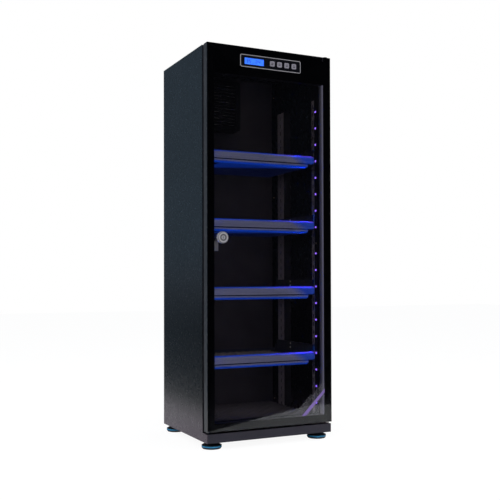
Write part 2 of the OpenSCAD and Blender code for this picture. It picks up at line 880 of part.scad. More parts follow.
module door_gasket() seated() color("#4c4c55") {
  seal_ring(seal_w, door_t, door_t + seal_lip_t);
  seal_ring(seal_w - seal_lip_w, door_t + seal_lip_t, door_t + seal_t - seal_lip_t / 2);
  seal_ring(seal_w - 2 * seal_lip_w, door_t + seal_t - seal_lip_t / 2, door_t + seal_t);
}

// Outline of a key's hole or cap
module key_outline(w) round_rect(w, w, key_r);

module key_place(i) translate([key_first_x + (i - 1) * key_pitch, 0, panel_z]) children();

// Black face of the control panel with key holes and the display's window
module panel_face() seated() color("#0a0b0e") {
  difference() {
    along_y(-panel_proud, glass_t) translate([0, panel_z])
      round_rect(face_w, face_h, panel_r - bezel_w);
    for (i = [1 : 4]) key_place(i) {
      along_y(-panel_proud - cut, glass_t + cut) key_outline(key_w + 2 * key_gap);
      along_y(panel_face_t - panel_proud, glass_t + cut) key_outline(key_w + 2 * key_flange + 2 * key_gap);
    }
    along_y(-panel_proud - cut, glass_t + cut)
      translate([lcd_x, panel_z]) square([lcd_w, lcd_h], center = true);
  }
}

// Silver outline round the panel, standing on the glass
module panel_bezel() seated() color("#b9bcc2") {
  difference() {
    along_y(-bezel_proud, 0) translate([0, panel_z]) round_rect(panel_w, panel_h, panel_r);
    along_y(-bezel_proud - cut, cut) translate([0, panel_z])
      round_rect(face_w, face_h, panel_r - bezel_w);
  }
}

// Lit display behind the panel's window, with its holder down to the board
module display() seated() color("#3f8cff") {
  along_y(lcd_recess, lcd_recess + lcd_t) translate([lcd_x, panel_z])
    square([lcd_w - 2 * hole_gap, lcd_h - 2 * hole_gap], center = true);
  along_y(lcd_recess + lcd_t, board_y) translate([lcd_x, panel_z])
    square([lcd_w - 4 * bezel_w, lcd_h - 2 * bezel_w], center = true);
}

// Circuit board behind the panel with one switch for each key
module control_board() seated() color("#1f5a34") {
  along_y(board_y, board_y + board_t) translate([0, panel_z])
    square([panel_w - 4 * bezel_w, panel_h - 4 * bezel_w], center = true);
  for (i = [1 : 4]) key_place(i)
    along_y(key_len - key_proud + key_travel + switch_gap, board_y) square(switch_w, center = true);
  for (s = [-1, 1])
    rod_y(s * (panel_w / 2 - 5 * bezel_w), panel_z, bezel_w, board_y + board_t, door_t - tube_t);
}

// Push key: rounded cap with a flange behind the panel's face
module key_cap(i) key_place(i) {
  along_y(-key_proud, key_len - key_proud) key_outline(key_w);
  along_y(panel_face_t - panel_proud + move_gap, panel_face_t - panel_proud + move_gap + key_flange_t)
    key_outline(key_w + 2 * key_flange);
}

module key_1() seated() color("#9a99a0") key_cap(1);

module key_2() seated() color("#9a99a0") key_cap(2);

module key_3() seated() color("#9a99a0") key_cap(3);

module key_4() seated() color("#9a99a0") key_cap(4);

// Lock body: round head in front of the glass and the barrel through it
module lock_body() seated() color("#c8cacd") {
  translate([lock_x, 0, lock_z]) rotate([90, 0, 0]) difference() {
    rotate_extrude() {
      translate([plug_r + run_gap, 0]) square([lock_head_r - plug_r - run_gap, lock_head_l - head_round]);
      translate([plug_r + run_gap, lock_head_l - head_round])
        square([lock_head_r - head_round - plug_r - run_gap, head_round]);
      intersection() {
        translate([lock_head_r - head_round, lock_head_l - head_round]) circle(head_round);
        translate([lock_head_r - head_round, lock_head_l - head_round]) square(head_round);
      }
      translate([plug_r + run_gap, -barrel_end]) square([barrel_r - plug_r - run_gap, barrel_end]);
    }
  }
}

// Nut that clamps the lock to the glass
module lock_nut() seated() color("#8c8f93") {
  difference() {
    translate([lock_x, glass_t + nut_t, lock_z]) rotate([90, 0, 0]) cylinder(h = nut_t, r = nut_r, $fn = 6);
    rod_y(lock_x, lock_z, barrel_r + run_gap, glass_t - cut, glass_t + nut_t + cut);
  }
}

// Turning plug with the key slot in its face
module lock_plug() seated() color("#d6d8da") {
  difference() {
    rod_y(lock_x, lock_z, plug_r, -lock_head_l + plug_recess, cam_y);
    along_y(-lock_head_l + plug_recess - cut, -lock_head_l + plug_recess + keyway_depth)
      translate([lock_x, lock_z]) square([keyway_w, keyway_h], center = true);
  }
  rod_y(lock_x, lock_z, cam_hole_r, cam_y, cam_y + cam_t);
}

// Cam that turns behind the front frame
module lock_cam() seated() color("#b9a46a") {
  along_y(cam_y, cam_y + cam_t) translate([lock_x, lock_z]) difference() {
    union() {
      circle(cam_w / 2);
      translate([-cam_w / 2, -cam_len]) square([cam_w, cam_len]);
    }
    circle(cam_hole_r);
  }
}

// Screw that holds the cam on the plug
module cam_screw() seated() color("#c8cacd") {
  rod_y(lock_x, lock_z, cam_screw_r, cam_y + cam_t, cam_y + cam_t + cam_screw_t);
}

// Bushes in the right stile that turn on the hinge pins
module hinge_bush(z0, z1, collar0, collar1) difference() {
  union() {
    block([half_w - stile_w + tube_t, tube_y + tube_t, z0], [half_w - tube_t, door_t - tube_t, z1]);
    translate([hinge_x, hinge_back, collar0]) cylinder(h = collar1 - collar0, r = bush_collar_r);
  }
  translate([hinge_x, hinge_back, min(z0, collar0) - cut])
    cylinder(h = max(z1, collar1) - min(z0, collar0) + 2 * cut, r = pin_r + run_gap);
}

module hinge_bushes() seated() color("#e4e2da") {
  hinge_bush(door_bottom, door_bottom + bush_len, plate_low_z + plate_t + bush_bearing_gap, door_bottom);
  hinge_bush(door_top - bush_len, door_top, door_top, plate_top_z - bush_bearing_gap);
}

// Stepped tray, drawn in x and z: pan, wings on the rails and an upturned side
module tray_outline(inset) {
  polygon([[-pan_x + inset, -trim_h + inset], [pan_x - inset, -trim_h + inset],
    [pan_x - inset, wing_z - tray_t + inset], [tray_side_x - inset, wing_z - tray_t + inset],
    [tray_side_x - inset, -rim_drop], [-tray_side_x + inset, -rim_drop],
    [-tray_side_x + inset, wing_z - tray_t + inset], [-pan_x + inset, wing_z - tray_t + inset]]);
}

module tray(i) seated() color("#2b2d33") translate([0, 0, shelf_z(i)]) {
  difference() {
    along_y(tray_y, tray_y + tray_d) tray_outline(0);
    along_y(tray_y + tray_t, tray_y + tray_d - tray_t) union() {
      tray_outline(tray_t);
      translate([-tray_side_x + tray_t, -rim_drop - cut]) square([2 * (tray_side_x - tray_t), 2 * cut]);
    }
  }
  both_sides() block([tray_side_x - tray_t, tray_y + tray_d - tab_t, tab_up - tab_h],
    [web_x - move_gap, tray_y + tray_d, tab_up]);
}

// Section of the trim: bellied face with a round top, then a groove, a lip and a round lower edge
module trim_section() intersection() {
  translate([belly_r, -belly_down]) circle(belly_r);
  translate([0, -trim_h]) square([trim_d, trim_h]);
  union() {
    translate([crown_y, -trim_round]) circle(trim_round);
    translate([0, -trim_upper_h]) square([trim_d, trim_upper_h + crown_z]);
    translate([groove_d, edge_h - trim_h]) square([trim_d - groove_d, groove_h + lip_h]);
    translate([lip_back, edge_h - trim_h]) square([trim_d - lip_back, lip_h]);
    translate([0, edge_h / 2 - trim_h]) square([trim_d, edge_h / 2]);
    translate([edge_h / 2, edge_h / 2 - trim_h]) circle(edge_h / 2);
    translate([edge_h / 2, -trim_h]) square([trim_d - edge_h / 2, edge_h / 2]);
  }
}

// Outline of the trim from the front: its lower part stops short at the hinge side
module trim_front() {
  translate([0, -trim_upper_h / 2]) round_rect(trim_w, trim_upper_h, trim_corner_r);
  translate([-trim_low_in / 2, -trim_h / 2]) round_rect(trim_low_w, trim_h, trim_low_r);
}

module trim(i) seated() color("#6f7186") translate([0, shelf_front_y, shelf_z(i)]) intersection() {
  along_x(-trim_w / 2, trim_w / 2) trim_section();
  along_y(-cut, trim_d + cut) trim_front();
  translate([0, trim_d, -trim_h - cut]) linear_extrude(trim_h + 2 * cut)
    round_rect(trim_w, 2 * trim_d, trim_end_r);
}

module mat(i) seated() color("#3a3029") translate([0, tray_y + tray_d / 2, shelf_z(i) - trim_h + tray_t]) {
  linear_extrude(mat_t)
    round_rect(pan_w - 2 * (tray_t + mat_edge_gap), tray_d - 2 * (tray_t + mat_edge_gap), mat_r);
}

module shelf_tray_1() tray(1);
module shelf_tray_2() tray(2);
module shelf_tray_3() tray(3);
module shelf_tray_4() tray(4);
module shelf_trim_1() trim(1);
module shelf_trim_2() trim(2);
module shelf_trim_3() trim(3);
module shelf_trim_4() trim(4);
module shelf_mat_1() mat(1);
module shelf_mat_2() mat(2);
module shelf_mat_3() mat(3);
module shelf_mat_4() mat(4);

// Foot: flared disc with a ring groove round its rim and a seat for the stud's collar
module foot_pad(i) seated() color("#17191b") foot_place(i) difference() {
  rotate_extrude() polygon([[0, 0], [pad_base_r, 0], [foot_r, pad_rim_low],
    [foot_r, pad_rim_low + ring_edge], [foot_r - ring_groove, pad_rim_low + ring_edge],
    [foot_r - ring_groove, pad_rim_high - ring_edge], [foot_r, pad_rim_high - ring_edge],
    [foot_r, pad_rim_high], [pad_neck_r, pad_top - collar_h / 2], [0, pad_top - collar_h / 2]]);
  translate([0, 0, pad_sole]) cylinder(h = pad_top, r = stud_r + run_gap);
  translate([0, 0, pad_top - collar_h]) cylinder(h = collar_h, r = collar_r + move_gap);
}

// Threaded stud with the collar that turns in the foot
module foot_stud(i) seated() color("#b4b7ba") foot_place(i) {
  translate([0, 0, pad_sole + move_gap]) cylinder(h = stud_top - pad_sole - move_gap, r = stud_r);
  translate([0, 0, pad_top - collar_h + move_gap]) cylinder(h = collar_h, r = collar_r);
}

module foot_pad_1() foot_pad(1);
module foot_pad_2() foot_pad(2);
module foot_pad_3() foot_pad(3);
module foot_pad_4() foot_pad(4);
module foot_stud_1() foot_stud(1);
module foot_stud_2() foot_stud(2);
module foot_stud_3() foot_stud(3);
module foot_stud_4() foot_stud(4);

side_panel_left();
side_panel_right();
top_panel();
floor_panel();
back_panel();
plinth();
base_rails();
front_frame();
uprights_left();
uprights_right();
shelf_rails();
stop_pins();
led_strips();
led_lenses();
dryer_case();
dryer_cover();
desiccant_cartridge();
power_inlet();
hinge_plates();
foot_bushes();
floor_mat();
cabinet_screws();
door_frame();
door_glass();
door_gasket();
panel_face();
panel_bezel();
display();
control_board();
lock_body();
lock_nut();
hinge_bushes();
lock_plug();
lock_cam();
cam_screw();
key_1();
key_2();
key_3();
key_4();
shelf_tray_1();
shelf_tray_2();
shelf_tray_3();
shelf_tray_4();
shelf_trim_1();
shelf_trim_2();
shelf_trim_3();
shelf_trim_4();
shelf_mat_1();
shelf_mat_2();
shelf_mat_3();
shelf_mat_4();
foot_pad_1();
foot_pad_2();
foot_pad_3();
foot_pad_4();
foot_stud_1();
foot_stud_2();
foot_stud_3();
foot_stud_4();
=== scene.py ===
# Looks of the camera dry cabinet: finishes for the solids, and the pieces that only show.
# Lengths are in metres, in the part's own frame: +X right, +Y back, +Z up.
import math

import bmesh
import bpy
from mathutils import Matrix, Vector


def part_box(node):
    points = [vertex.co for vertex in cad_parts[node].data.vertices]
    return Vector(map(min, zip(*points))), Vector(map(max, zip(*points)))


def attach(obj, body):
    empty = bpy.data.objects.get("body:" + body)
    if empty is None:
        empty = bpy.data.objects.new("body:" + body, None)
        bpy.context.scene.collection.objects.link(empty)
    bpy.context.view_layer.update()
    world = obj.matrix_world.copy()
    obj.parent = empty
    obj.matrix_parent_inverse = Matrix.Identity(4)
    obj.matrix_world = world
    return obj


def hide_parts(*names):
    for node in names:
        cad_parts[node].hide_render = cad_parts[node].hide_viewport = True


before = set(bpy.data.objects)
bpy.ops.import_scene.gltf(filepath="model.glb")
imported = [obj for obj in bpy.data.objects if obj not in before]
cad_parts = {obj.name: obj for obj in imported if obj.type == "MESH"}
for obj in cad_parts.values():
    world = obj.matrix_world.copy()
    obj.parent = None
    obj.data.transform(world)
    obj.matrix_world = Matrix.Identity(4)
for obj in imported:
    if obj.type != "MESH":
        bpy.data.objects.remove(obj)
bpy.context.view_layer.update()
scene = bpy.context.scene
MM = 0.001
NUMBERS = range(1, 5)    # of the shelves, keys and feet


# Camera at the photograph's viewpoint

CAMERA_PLACE = Vector((-1.0579, -2.2109, 0.4790))
CAMERA_AZIMUTH = math.radians(25.81)
CAMERA_LIFT = math.radians(0.98)
CAMERA_ROLL = math.radians(-0.15)
CAMERA_LENS = 57.43
CAMERA_SHIFT = (0.0021, 0.0285)


def make_camera():
    """Puts the camera where the photograph was taken from."""
    forward = Vector((
        math.sin(CAMERA_AZIMUTH) * math.cos(CAMERA_LIFT),
        math.cos(CAMERA_AZIMUTH) * math.cos(CAMERA_LIFT),
        math.sin(CAMERA_LIFT),
    ))
    side = forward.cross(Vector((0, 0, 1))).normalized()
    top = side.cross(forward)
    right = side * math.cos(CAMERA_ROLL) + top * math.sin(CAMERA_ROLL)
    up = top * math.cos(CAMERA_ROLL) - side * math.sin(CAMERA_ROLL)
    data = bpy.data.cameras.new("camera")
    data.lens = CAMERA_LENS
    data.sensor_width = 36.0
    data.shift_x, data.shift_y = CAMERA_SHIFT
    data.clip_start, data.clip_end = 0.01, 50.0
    cam = bpy.data.objects.new("camera", data)
    scene.collection.objects.link(cam)
    turn = Matrix((right, up, -forward)).transposed().to_4x4()
    cam.matrix_world = Matrix.Translation(CAMERA_PLACE) @ turn
    scene.camera = cam


# Materials

class Surface:
    """A node material under construction, with a Principled shader."""

    def __init__(self, name):
        self.mat = bpy.data.materials.new(name)
        self.mat.use_nodes = True
        self.tree = self.mat.node_tree
        self.tree.nodes.clear()
        self.out = self.node("ShaderNodeOutputMaterial")
        self.shader = self.node("ShaderNodeBsdfPrincipled")
        self.link(self.shader.outputs[0], self.out.inputs["Surface"])
        self.coords = self.node("ShaderNodeTexCoord").outputs["Object"]

    def node(self, kind, **values):
        n = self.tree.nodes.new(kind)
        for key, value in values.items():
            setattr(n, key, value)
        return n

    def link(self, a, b):
        self.tree.links.new(a, b)

    def set(self, **values):
        for key, value in values.items():
            self.shader.inputs[key.replace("_", " ")].default_value = value

    def noise(self, scale, detail=3.0, rough=0.5, stretch=(1, 1, 1)):
        """Fractal noise over the object's own coordinates, from 0 to 1."""
        place = self.node("ShaderNodeMapping")
        place.inputs["Scale"].default_value = stretch
        self.link(self.coords, place.inputs["Vector"])
        n = self.node("ShaderNodeTexNoise")
        n.inputs["Scale"].default_value = scale
        n.inputs["Detail"].default_value = detail
        n.inputs["Roughness"].default_value = rough
        self.link(place.outputs[0], n.inputs["Vector"])
        return n.outputs["Fac"]

    def ramp(self, value, low, high, start=0.3, end=0.7):
        """A colour ramp from low to high as value goes from start to end."""
        n = self.node("ShaderNodeValToRGB")
        n.color_ramp.elements[0].position = start
        n.color_ramp.elements[0].color = (*low, 1)
        n.color_ramp.elements[1].position = end
        n.color_ramp.elements[1].color = (*high, 1)
        self.link(value, n.inputs["Fac"])
        return n.outputs["Color"]

    def span(self, value, low, high, start=0.3, end=0.7):
        """Maps value to the range from low to high."""
        n = self.node("ShaderNodeMapRange")
        n.inputs["From Min"].default_value = start
        n.inputs["From Max"].default_value = end
        n.inputs["To Min"].default_value = low
        n.inputs["To Max"].default_value = high
        self.link(value, n.inputs["Value"])
        return n.outputs["Result"]

    def mix(self, factor, a, b):
        """Mixes two colours, each a socket or three numbers."""
        n = self.node("ShaderNodeMix", data_type="RGBA")
        self.link(factor, n.inputs["Factor"])
        for socket, colour in ((n.inputs["A"], a), (n.inputs["B"], b)):
            if isinstance(colour, tuple):
                socket.default_value = (*colour, 1)
            else:
                self.link(colour, socket)
        return n.outputs["Result"]

    def math(self, operation, a, b=0.0):
        """One Math node; a and b are sockets or numbers."""
        n = self.node("ShaderNodeMath", operation=operation)
        for socket, value in zip(n.inputs, (a, b)):
            if isinstance(value, (int, float)):
                socket.default_value = value
            else:
                self.link(value, socket)
        return n.outputs[0]

    def axis(self, name):
        """The object coordinate X, Y or Z."""
        n = self.node("ShaderNodeSeparateXYZ")
        self.link(self.coords, n.inputs[0])
        return n.outputs[name]

    def facing(self, name):
        """The surface normal's X, Y or Z."""
        n = self.node("ShaderNodeSeparateXYZ")
        self.link(self.node("ShaderNodeNewGeometry").outputs["Normal"], n.inputs[0])
        return n.outputs[name]

    def bump(self, height, distance, strength=1.0):
        n = self.node("ShaderNodeBump")
        n.inputs["Strength"].default_value = strength
        n.inputs["Distance"].default_value = distance
        self.link(height, n.inputs["Height"])
        self.link(n.outputs[0], self.shader.inputs["Normal"])

    def color(self, socket):
        self.link(socket, self.shader.inputs["Base Color"])

    def roughness(self, socket):
        self.link(socket, self.shader.inputs["Roughness"])

    def cloud(self):
        """Broad, faint unevenness for the colour of a paint."""
        return self.noise(9, 4)

    def powder_coat(self, smooth, coarse, depth=0.00003, strength=0.5):
        """Worn-in roughness from smooth to coarse, and fine orange peel."""
        self.roughness(self.span(self.noise(60, 5), smooth, coarse))
        self.bump(self.noise(1400, 2), depth, strength)


PAINT_SPREAD = 0.12      # share by which a paint's colour varies to each side
PLASTIC_SPREAD = 0.08    # the same for moulded plastic


def shade(colour, factor):
    return tuple(min(1.0, c * factor) for c in colour)


def blend(tree, factor, first, second):
    """Goes from the first shader to the second one as factor goes from 0 to 1."""
    n = tree.nodes.new("ShaderNodeMixShader")
    tree.links.new(factor, n.inputs["Fac"])
    tree.links.new(first, n.inputs[1])
    tree.links.new(second, n.inputs[2])
    return n.outputs[0]


def painted(name, colour, rough, specular):
    """Powder-coated sheet: fine orange peel, faint cloudy colour and worn-in roughness."""
    s = Surface(name)
    s.set(Specular_IOR_Level=specular)
    s.color(s.ramp(s.cloud(), shade(colour, 1 - PAINT_SPREAD), shade(colour, 1 + PAINT_SPREAD)))
    s.powder_coat(rough - 0.05, rough + 0.07)
    return s.mat


def moulded(name, colour, rough):
    """Moulded plastic with a fine spark-eroded grain."""
    s = Surface(name)
    s.set(Specular_IOR_Level=0.5)
    s.color(s.ramp(s.noise(30, 3), shade(colour, 1 - PLASTIC_SPREAD), shade(colour, 1 + PLASTIC_SPREAD)))
    s.roughness(s.span(s.noise(300, 3), rough - 0.06, rough + 0.06))
    s.bump(s.noise(2200, 2), 0.00002, 0.6)
    return s.mat


def metal(name, colour, rough):
    """Bare metal with fine turned marks."""
    s = Surface(name)
    s.set(Metallic=1.0)
    marks = s.noise(500, 3, 0.6)
    s.color(s.ramp(marks, shade(colour, 0.88), shade(colour, 1.06)))
    s.roughness(s.span(marks, rough - 0.06, rough + 0.08))
    s.bump(marks, 0.000006, 0.5)
    return s.mat


def lit(name, colour, strength):
    """A surface that glows, a little brighter in patches."""
    s = Surface(name)
    s.set(Roughness=0.35, Specular_IOR_Level=0.4)
    glow = s.ramp(s.noise(220, 2), shade(colour, 0.75), shade(colour, 1.25))
    s.color(glow)
    s.link(glow, s.shader.inputs["Emission Color"])
    s.shader.inputs["Emission Strength"].default_value = strength
    return s.mat


def door_frame_paint():
    """Frame of the door: black where it lies behind the glass, with a painted highlight in pale grey on the
    hinge stile's window side.
    """
    s = Surface("door_frame_paint")
    s.set(Specular_IOR_Level=0.4)
    lo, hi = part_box("door_frame")
    x, y = s.axis("X"), s.axis("Y")
    front = s.math("LESS_THAN", s.facing("Y"), -0.5)
    in_stile = s.math("MULTIPLY", s.math("GREATER_THAN", x, hi.x - 0.035),
                      s.math("LESS_THAN", x, hi.x - 0.004))
    # Painted highlight: the hinge stile's window side gets a pale colour in place of the frame's dark paint
    pale = s.math("MULTIPLY", in_stile, s.math("LESS_THAN", s.facing("X"), -0.5))
    dark = s.ramp(s.noise(12, 4), (0.030, 0.030, 0.034), (0.045, 0.044, 0.050))
    depth = s.span(y, 0.0, 1.0, lo.y + 0.006, lo.y + 0.010)
    light = s.mix(depth, (0.10, 0.10, 0.12), (0.14, 0.14, 0.16))
    s.color(s.mix(front, s.mix(pale, dark, light), (0.002, 0.002, 0.0026)))
    s.roughness(s.span(s.noise(80, 4), 0.34, 0.48))
    s.bump(s.noise(1500, 2), 0.00002, 0.5)
    # The strip's light on the stile, strongest behind the glass and fading towards the back
    s.shader.inputs["Emission Color"].default_value = (0.62, 0.60, 0.80, 1)
    near = s.span(y, 0.20, 0.06, lo.y + 0.007, lo.y + 0.010)
    fade = s.span(y, 1.0, 0.15, lo.y + 0.015, lo.y + 0.020)
    shown = s.math("MULTIPLY", s.math("MULTIPLY", pale, near), s.math("SUBTRACT", 1.0, front))
    s.link(s.math("MULTIPLY", shown, fade), s.shader.inputs["Emission Strength"])
    return s.mat


def tinted_glass():
    """Thin tinted pane: light goes straight through, its faces mirror by Fresnel, its rim is dark."""
    s = Surface("tinted_glass")
    s.set(Specular_IOR_Level=0.5)
    s.color(s.ramp(s.noise(30, 3), (0.004, 0.004, 0.006), (0.010, 0.010, 0.014)))
    s.roughness(s.span(s.noise(90, 3), 0.2, 0.3))
    through = s.node("ShaderNodeBsdfTransparent")
    s.link(s.ramp(s.noise(6, 3), (0.79, 0.79, 0.81), (0.82, 0.82, 0.84)), through.inputs["Color"])
    mirror = s.node("ShaderNodeBsdfGlossy")
    mirror.inputs["Color"].default_value = (1, 1, 1, 1)
    s.link(s.span(s.noise(14, 4), 0.012, 0.03), mirror.inputs["Roughness"])
    fresnel = s.node("ShaderNodeFresnel")
    fresnel.inputs["IOR"].default_value = 1.48
    pane = blend(s.tree, fresnel.outputs[0], through.outputs[0], mirror.outputs[0])
    rim = s.math("LESS_THAN", s.math("ABSOLUTE", s.facing("Y")), 0.7)
    s.link(blend(s.tree, rim, pane, s.shader.outputs[0]), s.out.inputs["Surface"])
    return s.mat


def gloss_black():
    """Polished black plastic of the control panel, with faint waviness."""
    s = Surface("panel_black")
    s.set(Specular_IOR_Level=0.5)
    s.color(s.ramp(s.noise(20, 3), (0.0032, 0.0032, 0.0048), (0.0052, 0.0052, 0.0078)))
    s.roughness(s.span(s.noise(90, 4), 0.08, 0.14))
    s.bump(s.noise(40, 2), 0.00001, 0.3)
    return s.mat


def body_sheet():
    """Powder-coated outer sheet as the photo shows it: bluish, with painted shade that makes it darker low
    down and a painted reflection of the floor that makes it paler at the foot.
    """
    s = Surface("body_paint")
    s.set(Specular_IOR_Level=0.42)
    cloud, z = s.cloud(), s.axis("Z")
    high = s.ramp(cloud, (0.0080, 0.0125, 0.0175), (0.0100, 0.0150, 0.0210))
    # Painted shade: the sheet's low band is given a darker, redder tone
    low = s.ramp(cloud, (0.0062, 0.0026, 0.0026), (0.0078, 0.0036, 0.0038))
    # Painted reflection of the white floor: a paler violet tone at the foot
    foot = s.ramp(cloud, (0.0560, 0.0350, 0.0530), (0.0630, 0.0400, 0.0600))
    low = s.mix(s.span(z, 0.0, 1.0, 0.02, 0.13), foot, low)
    s.color(s.mix(s.span(z, 0.0, 1.0, 0.34, 0.58), low, high))
    # A metallic value with this dark colour dulls the shine of the dark band
    over_foot = s.span(z, 0.0, 1.0, 0.07, 0.14)
    below_middle = s.span(z, 1.0, 0.0, 0.33, 0.48)
    shade_band = s.math("MULTIPLY", over_foot, below_middle)
    s.link(s.span(shade_band, 0.0, 0.95, 0.0, 1.0), s.shader.inputs["Metallic"])
    s.powder_coat(0.24, 0.33, 0.000002, 0.15)
    return s.mat


def lock_chrome():
    """Plated lock face with painted highlights and painted dark reflections as rings about the lock's axis, a
    dark ring where the turned groove runs round it.
    """
    s = Surface("lock_chrome")
    s.set(Specular_IOR_Level=0.9)
    lo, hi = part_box("lock_body")
    middle = (lo + hi) / 2
    across = s.math("SUBTRACT", s.axis("X"), middle.x)
    up = s.math("SUBTRACT", s.axis("Z"), middle.z)
    radius = s.math("SQRT", s.math("ADD", s.math("MULTIPLY", across, across), s.math("MULTIPLY", up, up)))
    ring = s.span(radius, 0.0, 1.0, 0.0, (hi.x - lo.x) / 2)
    marks = s.noise(500, 3, 0.6)
    n = s.node("ShaderNodeValToRGB")
    # Painted highlights and painted dark reflections, as colour levels from the axis out to the rim
    painted_reflection_stops = ((0.0, 0.22), (0.30, 0.34), (0.42, 0.04), (0.55, 0.12), (0.78, 0.40), (0.90, 0.06), (1.0, 0.32))
    while len(n.color_ramp.elements) < len(painted_reflection_stops):
        n.color_ramp.elements.new(0.5)
    for element, (place, level) in zip(n.color_ramp.elements, painted_reflection_stops):
        element.position = place
        element.color = (level, level * 0.97, level * 1.03, 1)
    s.link(ring, n.inputs["Fac"])
    s.color(n.outputs["Color"])
    s.roughness(s.span(marks, 0.12, 0.26))
    s.bump(marks, 0.000002, 0.5)
    return s.mat


def upright_paint():
    """Slotted posts: dark paint, paler on the narrow edges that catch the light."""
    s = Surface("upright_paint")
    s.set(Specular_IOR_Level=0.4)
    cloud = s.cloud()
    dark = s.ramp(cloud, (0.034, 0.030, 0.033), (0.046, 0.041, 0.045))
    edge = s.math("GREATER_THAN", s.math("ABSOLUTE", s.facing("X")), 0.7)
    s.color(s.mix(edge, dark, (0.36, 0.32, 0.33)))
    s.powder_coat(0.42, 0.54)
    return s.mat


def satin_trim(number):
    """Satin silver plastic with fine lengthwise lines, whose edges and right end carry the strip's light."""
    s = Surface(f"satin_trim_{number}")
    s.set(Specular_IOR_Level=0.5)
    lo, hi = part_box(f"shelf_trim_{number}")
    lines = s.noise(260, 3, 0.5, (0.02, 1, 1))
    face = s.ramp(lines, (0.50, 0.50, 0.72), (0.70, 0.70, 0.95))
    x, z = s.axis("X"), s.axis("Z")
    top = s.span(z, 0.0, 1.0, hi.z - 0.0055, hi.z - 0.0015)
    low = s.span(z, 1.0, 0.0, lo.z + 0.0035, lo.z + 0.008)
    slant = s.math("SUBTRACT", x, s.math("MULTIPLY", s.math("SUBTRACT", hi.z, z), 1.6))
    end = s.span(slant, 0.0, 0.85, hi.x - 0.095, hi.x - 0.055)
    share = s.math("MAXIMUM", s.math("MAXIMUM", top, low), end)
    # Painted shade: a dark line along the trim's groove
    groove = s.math("LESS_THAN", s.math("ABSOLUTE", s.math("SUBTRACT", z, hi.z - 0.0245)), 0.0017)
    face = s.mix(groove, face, (0.05, 0.05, 0.10))
    s.color(s.mix(share, face, (0.01, 0.04, 0.26)))
    # Painted highlight: a violet glow along the top edge, growing towards the right end
    violet = s.span(x, 0.0, 0.16, 0.0, hi.x)
    glow = s.node("ShaderNodeCombineColor")
    s.link(s.math("MULTIPLY", violet, top), glow.inputs[0])
    glow.inputs[1].default_value = 0.038
    glow.inputs[2].default_value = 0.38
    s.link(glow.outputs[0], s.shader.inputs["Emission Color"])
    s.link(s.math("MULTIPLY", share, s.span(lines, 0.75, 1.1)), s.shader.inputs["Emission Strength"])
    s.roughness(s.span(s.noise(80, 3), 0.32, 0.42))
    s.bump(lines, 0.00002, 0.4)
    return s.mat


def tray_paint_and_strip_light():
    """Dark sheet of the shelf trays, with the strip's light fanning out under their front."""
    s = Surface("tray_paint_and_strip_light")
    s.set(Specular_IOR_Level=0.3)
    cloud = s.cloud()
    s.color(s.ramp(cloud, (0.035, 0.038, 0.06), (0.048, 0.052, 0.08)))
    lo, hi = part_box("shelf_tray_1")
    # Painted light from the strip: a blue glow fanning out under the trays' front
    reach = s.math("MULTIPLY", s.math("SUBTRACT", hi.x - 0.022, s.axis("X")), 0.38)
    inside = s.math("SUBTRACT", reach, s.math("SUBTRACT", s.axis("Y"), lo.y))
    fan = s.span(inside, 0.0, 1.0, -0.02, 0.012)
    under = s.math("LESS_THAN", s.facing("Z"), -0.5)
    s.link(s.math("MULTIPLY", s.math("MAXIMUM", fan, 0.1), under), s.shader.inputs["Emission Strength"])
    s.link(s.ramp(cloud, (0.0, 0.014, 0.15), (0.0, 0.020, 0.21)), s.shader.inputs["Emission Color"])
    s.powder_coat(0.45, 0.57)
    return s.mat


def back_wall(outside, inside):
    """Back sheet: body paint outside, and inside a paler colour that is painted light."""
    s = Surface("back_wall")
    s.set(Specular_IOR_Level=0.35)
    cloud = s.cloud()
    outer = s.ramp(cloud, shade(outside, 0.9), shade(outside, 1.1))
    painted_inner_light = s.ramp(cloud, shade(inside, 0.8), shade(inside, 1.2))
    s.color(s.mix(s.math("LESS_THAN", s.facing("Y"), -0.5), outer, painted_inner_light))
    s.powder_coat(0.38, 0.5)
    return s.mat


def seal_rubber():
    """Soft grey seal with fine lengthwise drag marks."""
    s = Surface("seal_rubber")
    s.set(Specular_IOR_Level=0.3)
    s.color(s.ramp(s.noise(40, 3), (0.20, 0.20, 0.235), (0.27, 0.27, 0.31)))
    s.roughness(s.span(s.noise(200, 3), 0.6, 0.75))
    s.bump(s.noise(900, 2), 0.00003, 0.5)
    return s.mat


def foam_sponge(name, low, high):
    """Open-cell foam: pores of two sizes, with painted shade that makes it darker down in the hollows."""
    s = Surface(name)
    s.set(Specular_IOR_Level=0.15, Sheen_Weight=0.25, Sheen_Roughness=0.6)
    cells = s.node("ShaderNodeTexVoronoi")
    cells.inputs["Scale"].default_value = 520
    s.link(s.coords, cells.inputs["Vector"])
    pores = s.math("MULTIPLY", cells.outputs["Distance"], s.noise(130, 4))
    s.color(s.ramp(pores, low, high, 0.05, 0.45))
    s.roughness(s.span(s.noise(300, 3), 0.85, 0.98))
    s.bump(pores, 0.0005, 0.8)
    return s.mat


def board_print():
    """Green circuit board with paler tracks."""
    s = Surface("board_print")
    s.set(Specular_IOR_Level=0.5)
    brick = s.node("ShaderNodeTexBrick")
    brick.inputs["Scale"].default_value = 60
    brick.inputs["Mortar Size"].default_value = 0.03
    brick.inputs["Color1"].default_value = (0.01, 0.07, 0.03, 1)
    brick.inputs["Color2"].default_value = (0.012, 0.085, 0.036, 1)
    brick.inputs["Mortar"].default_value = (0.05, 0.2, 0.09, 1)
    s.link(s.coords, brick.inputs["Vector"])
    s.color(brick.outputs["Color"])
    s.roughness(s.span(s.noise(200, 3), 0.3, 0.45))
    return s.mat


